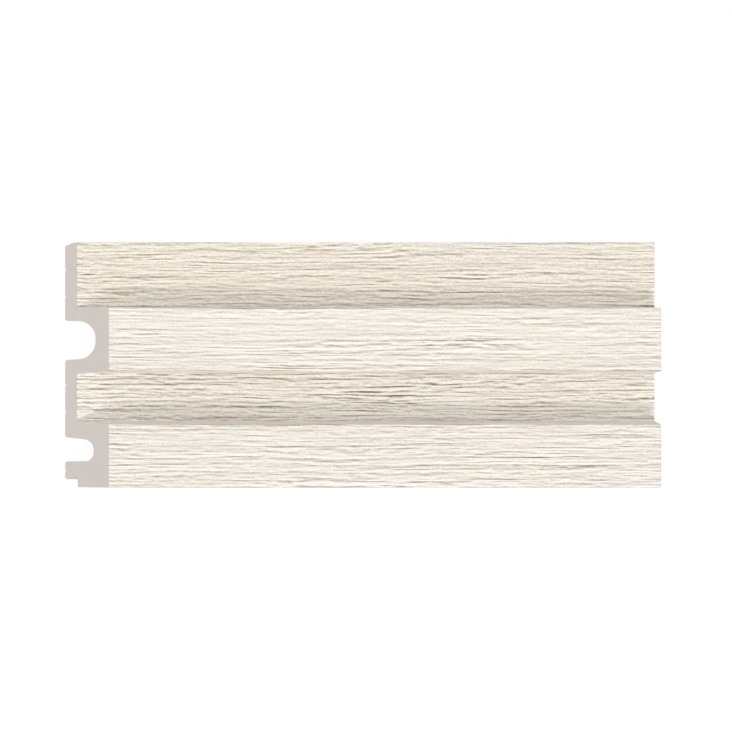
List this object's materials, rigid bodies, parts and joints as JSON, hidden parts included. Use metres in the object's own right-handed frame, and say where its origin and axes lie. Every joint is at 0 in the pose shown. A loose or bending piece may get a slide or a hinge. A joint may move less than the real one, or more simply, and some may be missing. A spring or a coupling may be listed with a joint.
{
  "type": "three-dimensional wall panel",
  "caption": "Slatted foamed-plastic wall panel with raised slats, hollowed backs, a tongue edge and a lap rebate, faced in cream wood-grain film, cut to a short sample length.",
  "frame": {"origin": "middle of the panel's back: half way along its length and across its width, on the plane that lies against the wall", "axes": "+X along the slats towards the square end, +Y across the slats towards the tongue edge, +Z out of the wall through the slat faces"},
  "size_m": [0.3, 0.124, 0.022],
  "materials": {
    "faced_foam": "cream-white film embossed with wood grain over foamed plastic, matt; bare grey-white foam at the cut ends and on the back"
  },
  "bodies": {
    "root": {"wall_panel": "faced_foam"}
  },
  "joints": []
}
